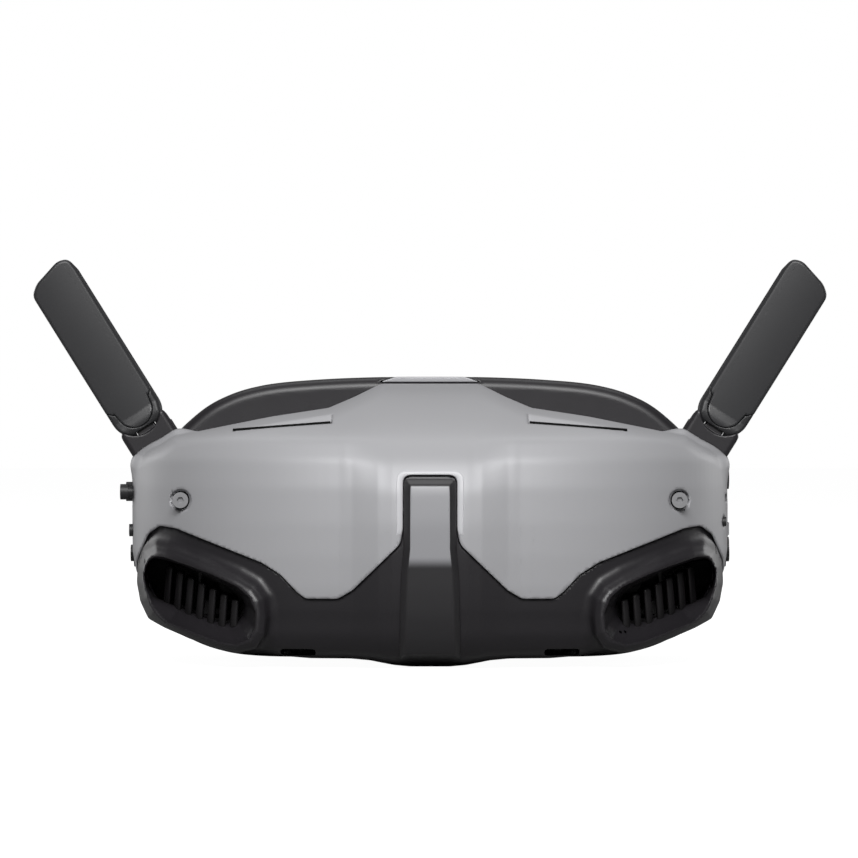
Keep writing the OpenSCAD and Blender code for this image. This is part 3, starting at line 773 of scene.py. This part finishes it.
def mesh_piece(name, body, slot, points, quads, normals):
    """A smooth mesh with its material, its slot and the body that it rides on."""
    mesh = bpy.data.meshes.new(name)
    mesh.vertices.add(len(points))
    mesh.vertices.foreach_set("co", (points * MM).ravel().astype(np.float32))
    mesh.loops.add(quads.size)
    mesh.loops.foreach_set("vertex_index", quads.ravel().astype(np.int32))
    mesh.polygons.add(len(quads))
    mesh.polygons.foreach_set("loop_start", np.arange(0, quads.size, quads.shape[1], dtype=np.int32))
    mesh.polygons.foreach_set("use_smooth", np.ones(len(quads), bool))
    mesh.update(calc_edges=True)
    mesh.validate()
    mesh.normals_split_custom_set_from_vertices(steadied(points, quads, normals).tolist())
    piece = bpy.data.objects.new(name, mesh)
    bpy.context.scene.collection.objects.link(piece)
    mesh.materials.append(MATERIALS[slot])
    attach(piece, body)
    return piece


def field_extra(name, slot, field, low, high, cell):
    """A small piece that stands for no CAD node of its own."""
    points, quads = surface(field, low, high, cell)
    mesh_piece("look_" + name, "body", slot, points, quads, unit_rows(gradient(field, points, 0.08)))


def field_piece(name, body, slot, field, low, high, cell, mirror=False):
    """A piece meshed from a field given for the wearer's left, and put on the right if mirror is set."""
    points, quads = surface(field, low, high, cell)
    normals = unit_rows(gradient(field, points, 0.12))
    made = []
    for side in (1, -1) if mirror else (0,):
        label = name + {1: "_left", -1: "_right", 0: ""}[side]
        riding = body + {1: "_left", -1: "_right", 0: ""}[side] if body != "body" else body
        flip = np.array([-1 if side == -1 else 1, 1, 1])
        turned = quads[:, ::-1] if side == -1 else quads
        piece = mesh_piece("look_" + label, riding, slot, points * flip, turned, normals * flip)
        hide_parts(label)
        made.append(piece)
    return made


# ---- materials ------------------------------------------------------------------------------------
MATERIALS = {}


def material(name, colour, roughness, metallic=0.0, specular=0.5, grain=0.0, grain_size=0.3, mottle=0.0,
             coat=0.0, transmission=0.0, sheen=0.0):
    """A procedural finish: grain is the bump's height and mottle the unevenness of its gloss."""
    made = bpy.data.materials.new(name)
    made.use_nodes = True
    nodes, links = made.node_tree.nodes, made.node_tree.links
    skin = nodes["Principled BSDF"]
    skin.inputs["Base Color"].default_value = (*colour, 1)
    skin.inputs["Roughness"].default_value = roughness
    skin.inputs["Metallic"].default_value = metallic
    skin.inputs["Specular IOR Level"].default_value = specular
    skin.inputs["Coat Weight"].default_value = coat
    skin.inputs["Coat Roughness"].default_value = 0.25
    skin.inputs["Transmission Weight"].default_value = transmission
    skin.inputs["Sheen Weight"].default_value = sheen
    place = nodes.new("ShaderNodeTexCoord")
    if mottle:
        cloud = nodes.new("ShaderNodeTexNoise")
        cloud.inputs["Scale"].default_value = 90
        cloud.inputs["Detail"].default_value = 4
        span = nodes.new("ShaderNodeMapRange")
        span.inputs["To Min"].default_value = roughness - mottle
        span.inputs["To Max"].default_value = roughness + mottle
        links.new(place.outputs["Object"], cloud.inputs["Vector"])
        links.new(cloud.outputs["Fac"], span.inputs["Value"])
        links.new(span.outputs["Result"], skin.inputs["Roughness"])
    if grain:
        speck = nodes.new("ShaderNodeTexNoise")
        speck.inputs["Scale"].default_value = 1000 / grain_size
        speck.inputs["Detail"].default_value = 2
        bump = nodes.new("ShaderNodeBump")
        bump.inputs["Strength"].default_value = 1.0
        bump.inputs["Distance"].default_value = grain * MM
        links.new(place.outputs["Object"], speck.inputs["Vector"])
        links.new(speck.outputs["Fac"], bump.inputs["Height"])
        links.new(bump.outputs["Normal"], skin.inputs["Normal"])
    MATERIALS[name] = made


material("grey_shell", (0.40, 0.40, 0.415), 0.52, metallic=0.15, grain=0.004, grain_size=0.22, mottle=0.02)
material("black_shell", (0.016, 0.0145, 0.017), 0.42, grain=0.006, grain_size=0.3, mottle=0.03)
material("strip", (0.024, 0.023, 0.025), 0.4, grain=0.004, mottle=0.02)
material("lip", (0.56, 0.56, 0.58), 0.4)
# The near-black gap finish on the slit strips is painted shade standing in for the dark vent gaps.
material("gap", (0.004, 0.004, 0.004), 0.9, specular=0.1)
material("soft_rubber", (0.016, 0.016, 0.017), 0.7, grain=0.01)
material("inner_plastic", (0.010, 0.009, 0.010), 0.5, specular=0.35, grain=0.01, grain_size=0.4, mottle=0.04)
material("light_pipe", (0.7, 0.7, 0.7), 0.35)
material("steel", (0.34, 0.34, 0.35), 0.42, metallic=0.75, mottle=0.05)
material("circuit_board", (0.008, 0.06, 0.028), 0.35, coat=0.3)
material("barrel_black", (0.012, 0.012, 0.013), 0.5, grain=0.008, mottle=0.03)
material("brass", (0.72, 0.5, 0.22), 0.3, metallic=1.0, mottle=0.05)
material("knob", (0.02, 0.02, 0.021), 0.5, grain=0.008)
material("aluminium", (0.72, 0.72, 0.73), 0.4, metallic=1.0, mottle=0.05)
material("antenna_black", (0.018, 0.018, 0.0195), 0.48, grain=0.01, grain_size=0.35, mottle=0.03)
material("antenna_front", (0.026, 0.026, 0.028), 0.42, grain=0.008, grain_size=0.35, mottle=0.03)
material("control", (0.018, 0.018, 0.019), 0.5, grain=0.008)
material("sensor_window", (0.03, 0.004, 0.008), 0.08, coat=0.6)
material("lens_glass", (0.80, 0.86, 0.95), 0.03, transmission=1.0, coat=0.4)
material("foam", (0.018, 0.018, 0.019), 0.85, sheen=0.25)


def two_tone(made, upper, height, softness):
    """Paints a finish in a second colour above a height on faces that look forward, with a soft border."""
    nodes, links = made.node_tree.nodes, made.node_tree.links
    skin = nodes["Principled BSDF"]
    place = nodes.new("ShaderNodeTexCoord")
    split = nodes.new("ShaderNodeSeparateXYZ")
    links.new(place.outputs["Object"], split.inputs["Vector"])
    rise = nodes.new("ShaderNodeMapRange")
    rise.interpolation_type = "SMOOTHSTEP"
    rise.inputs["From Min"].default_value = (height - softness) * MM
    rise.inputs["From Max"].default_value = (height + softness) * MM
    links.new(split.outputs["Z"], rise.inputs["Value"])
    facing = nodes.new("ShaderNodeNewGeometry")
    turn = nodes.new("ShaderNodeSeparateXYZ")
    links.new(facing.outputs["Normal"], turn.inputs["Vector"])
    ahead = nodes.new("ShaderNodeMapRange")
    ahead.interpolation_type = "SMOOTHSTEP"
    ahead.inputs["From Min"].default_value = -0.90
    ahead.inputs["From Max"].default_value = -0.96
    links.new(turn.outputs["Y"], ahead.inputs["Value"])
    both = nodes.new("ShaderNodeMath")
    both.operation = "MULTIPLY"
    links.new(rise.outputs["Result"], both.inputs[0])
    links.new(ahead.outputs["Result"], both.inputs[1])
    blend = nodes.new("ShaderNodeMix")
    blend.data_type = "RGBA"
    blend.inputs["A"].default_value = skin.inputs["Base Color"].default_value[:]
    blend.inputs["B"].default_value = (*upper, 1)
    links.new(both.outputs["Value"], blend.inputs["Factor"])
    links.new(blend.outputs["Result"], skin.inputs["Base Color"])


def knit(made):
    """Turns the foam's finish into a fine knit: rows of stitches across and up the cushion."""
    nodes, links = made.node_tree.nodes, made.node_tree.links
    skin = nodes["Principled BSDF"]
    place = nodes.new("ShaderNodeTexCoord")
    rows = []
    for turn, size in ((0.0, 1400), (math.radians(90), 1100)):
        mapping = nodes.new("ShaderNodeMapping")
        mapping.inputs["Rotation"].default_value = (0, turn, 0.0)
        wave = nodes.new("ShaderNodeTexWave")
        wave.inputs["Scale"].default_value = size / 3.2
        wave.inputs["Distortion"].default_value = 1.2
        wave.inputs["Detail Scale"].default_value = 2
        links.new(place.outputs["Object"], mapping.inputs["Vector"])
        links.new(mapping.outputs["Vector"], wave.inputs["Vector"])
        rows.append(wave)
    both = nodes.new("ShaderNodeMath")
    both.operation = "MULTIPLY"
    links.new(rows[0].outputs["Fac"], both.inputs[0])
    links.new(rows[1].outputs["Fac"], both.inputs[1])
    bump = nodes.new("ShaderNodeBump")
    bump.inputs["Distance"].default_value = 0.12 * MM
    links.new(both.outputs["Value"], bump.inputs["Height"])
    links.new(bump.outputs["Normal"], skin.inputs["Normal"])


knit(MATERIALS["foam"])
two_tone(MATERIALS["strip"], (0.30, 0.30, 0.315), 26.7, 1.6)

# The CAD's own nodes take the finish of their slot.
for part in frame["record"]["subparts"]:
    data = frame["nodes"][part["node"]].data
    data.materials.clear()
    data.materials.append(MATERIALS[part["material_slot"]])


# ---- the goggles ----------------------------------------------------------------------------------
field_piece("front_shell", "body", "grey_shell", front_shell, (-82, -54, -3), (82, 20, 75), 0.6)
field_piece("lower_cover", "body", "black_shell", lower_cover, (-82, -56, -3), (82, 20, 52), 0.6)
field_piece("center_strip", "body", "strip", center_strip, (-10, -56, -2), (10, -30, 50), 0.3)
field_piece("top_trim", "body", "grey_shell", top_trim, (-14, 18, 71), (14, 23, 75), 0.25)
# Near-black strips along the slits' lower edges: painted shade for the dark vent gaps, not real openings.
for side, name in ((1, "slit_gap_left"), (-1, "slit_gap_right")):
    low_x, high_x = sorted((side * 24, side * 51))
    field_extra(name, "gap", lambda p: painted_slit_shade((side * p[0], p[1], p[2])), (low_x, -48, 58), (high_x, -8, 64),
                0.25)
field_extra("shell_lip", "lip", shell_lip, (-12, -54, 26), (12, -28, 51), 0.22)
field_piece("vent_grille", "body", "inner_plastic", vent_grille, (40, -54, 2), (76, -6, 33), 0.4, mirror=True)
field_piece("rear_frame", "body", "black_shell", rear_frame, (-80, 17, -2), (80, 47, 76), 0.7)
cushion = field_piece("face_foam", "body", "foam", foam_form, (-80, 24, -2), (80, 56, 76), 0.8)[0]
field_piece("antenna_back", "antenna", "antenna_black", antenna_back, (60, -3, 54), (108, 8, 108), 0.3,
            mirror=True)
field_piece("antenna_cover", "antenna", "antenna_front", antenna_cover, (60, -4, 54), (108, 6, 108), 0.3,
            mirror=True)
field_piece("antenna_stub", "body", "black_shell", antenna_stub, (55, -6, 44), (90, 10, 70), 0.3, mirror=True)


# ---- floor, light and camera ----------------------------------------------------------------------
def paper(name, size, place):
    """A square floor that catches shadows and is white to the camera."""
    made = bpy.data.meshes.new(name)
    half = size / 2
    corners = [(-half, -half, 0), (half, -half, 0), (half, half, 0), (-half, half, 0)]
    made.from_pydata(corners, [], [(0, 1, 2, 3)])
    floor = bpy.data.objects.new(name, made)
    floor.location = place
    bpy.context.scene.collection.objects.link(floor)
    finish = bpy.data.materials.new(name)
    finish.use_nodes = True
    skin = finish.node_tree.nodes["Principled BSDF"]
    skin.inputs["Base Color"].default_value = (0.3, 0.3, 0.3, 1)
    skin.inputs["Roughness"].default_value = 0.9
    skin.inputs["Specular IOR Level"].default_value = 0.1
    skin.inputs["Emission Color"].default_value = (1, 1, 1, 1)
    nodes, links = finish.node_tree.nodes, finish.node_tree.links
    ray = nodes.new("ShaderNodeLightPath")
    glow = nodes.new("ShaderNodeMath")
    glow.operation = "MULTIPLY"
    glow.inputs[1].default_value = 0.97
    links.new(ray.outputs["Is Camera Ray"], glow.inputs[0])
    links.new(glow.outputs["Value"], skin.inputs["Emission Strength"])
    made.materials.append(finish)


def studio():
    """White surroundings to the camera, and a much weaker even light on the object."""
    world = bpy.data.worlds.new("studio")
    world.use_nodes = True
    nodes, links = world.node_tree.nodes, world.node_tree.links
    sky = nodes["Background"]
    sky.inputs["Color"].default_value = (1, 1, 1, 1)
    ray = nodes.new("ShaderNodeLightPath")
    span = nodes.new("ShaderNodeMapRange")
    span.inputs["To Min"].default_value = 0.06
    span.inputs["To Max"].default_value = 1.0
    links.new(ray.outputs["Is Camera Ray"], span.inputs["Value"])
    links.new(span.outputs["Result"], sky.inputs["Strength"])
    bpy.context.scene.world = world


def softbox(name, place, aim, width, height, power):
    """A soft rectangular light that faces a point; places in metres."""
    light = bpy.data.lights.new(name, "AREA")
    light.shape = "RECTANGLE"
    light.size, light.size_y = width, height
    light.energy = power
    lamp = bpy.data.objects.new(name, light)
    lamp.location = place
    away = Vector(place) - Vector(aim)
    lamp.rotation_mode = "QUATERNION"
    lamp.rotation_quaternion = away.to_track_quat("Z", "Y")
    bpy.context.scene.collection.objects.link(lamp)


paper("floor", 12, (0, 0, -0.0002))
softbox("key", (0, -1.2, 0.9), (0, 0, 0.04), 0.8, 0.5, 22)
softbox("top", (0, 0.35, 1.1), (0, 0, 0.05), 1.0, 0.5, 3)
softbox("rim_left", (-0.8, 0.7, 0.2), (0, 0, 0.05), 0.3, 0.6, 2.6)
softbox("rim_right", (0.8, 0.7, 0.2), (0, 0, 0.05), 0.3, 0.6, 2.6)
studio()
bpy.context.scene.view_settings.view_transform = "Standard"

SENSOR, FAR, SEEN_W = 36, 1200, 221.1     # the sensor, the camera's distance and the width it sees, in mm
camera = bpy.data.objects.new("camera", bpy.data.cameras.new("camera"))
camera.data.sensor_width = SENSOR
camera.data.lens = SENSOR * FAR / SEEN_W
camera.data.clip_start, camera.data.clip_end = 0.1, 20
camera.location = (-0.00026, -1.2, 0.0597)
camera.rotation_euler = (math.radians(90), 0, 0)
bpy.context.scene.collection.objects.link(camera)
bpy.context.scene.camera = camera
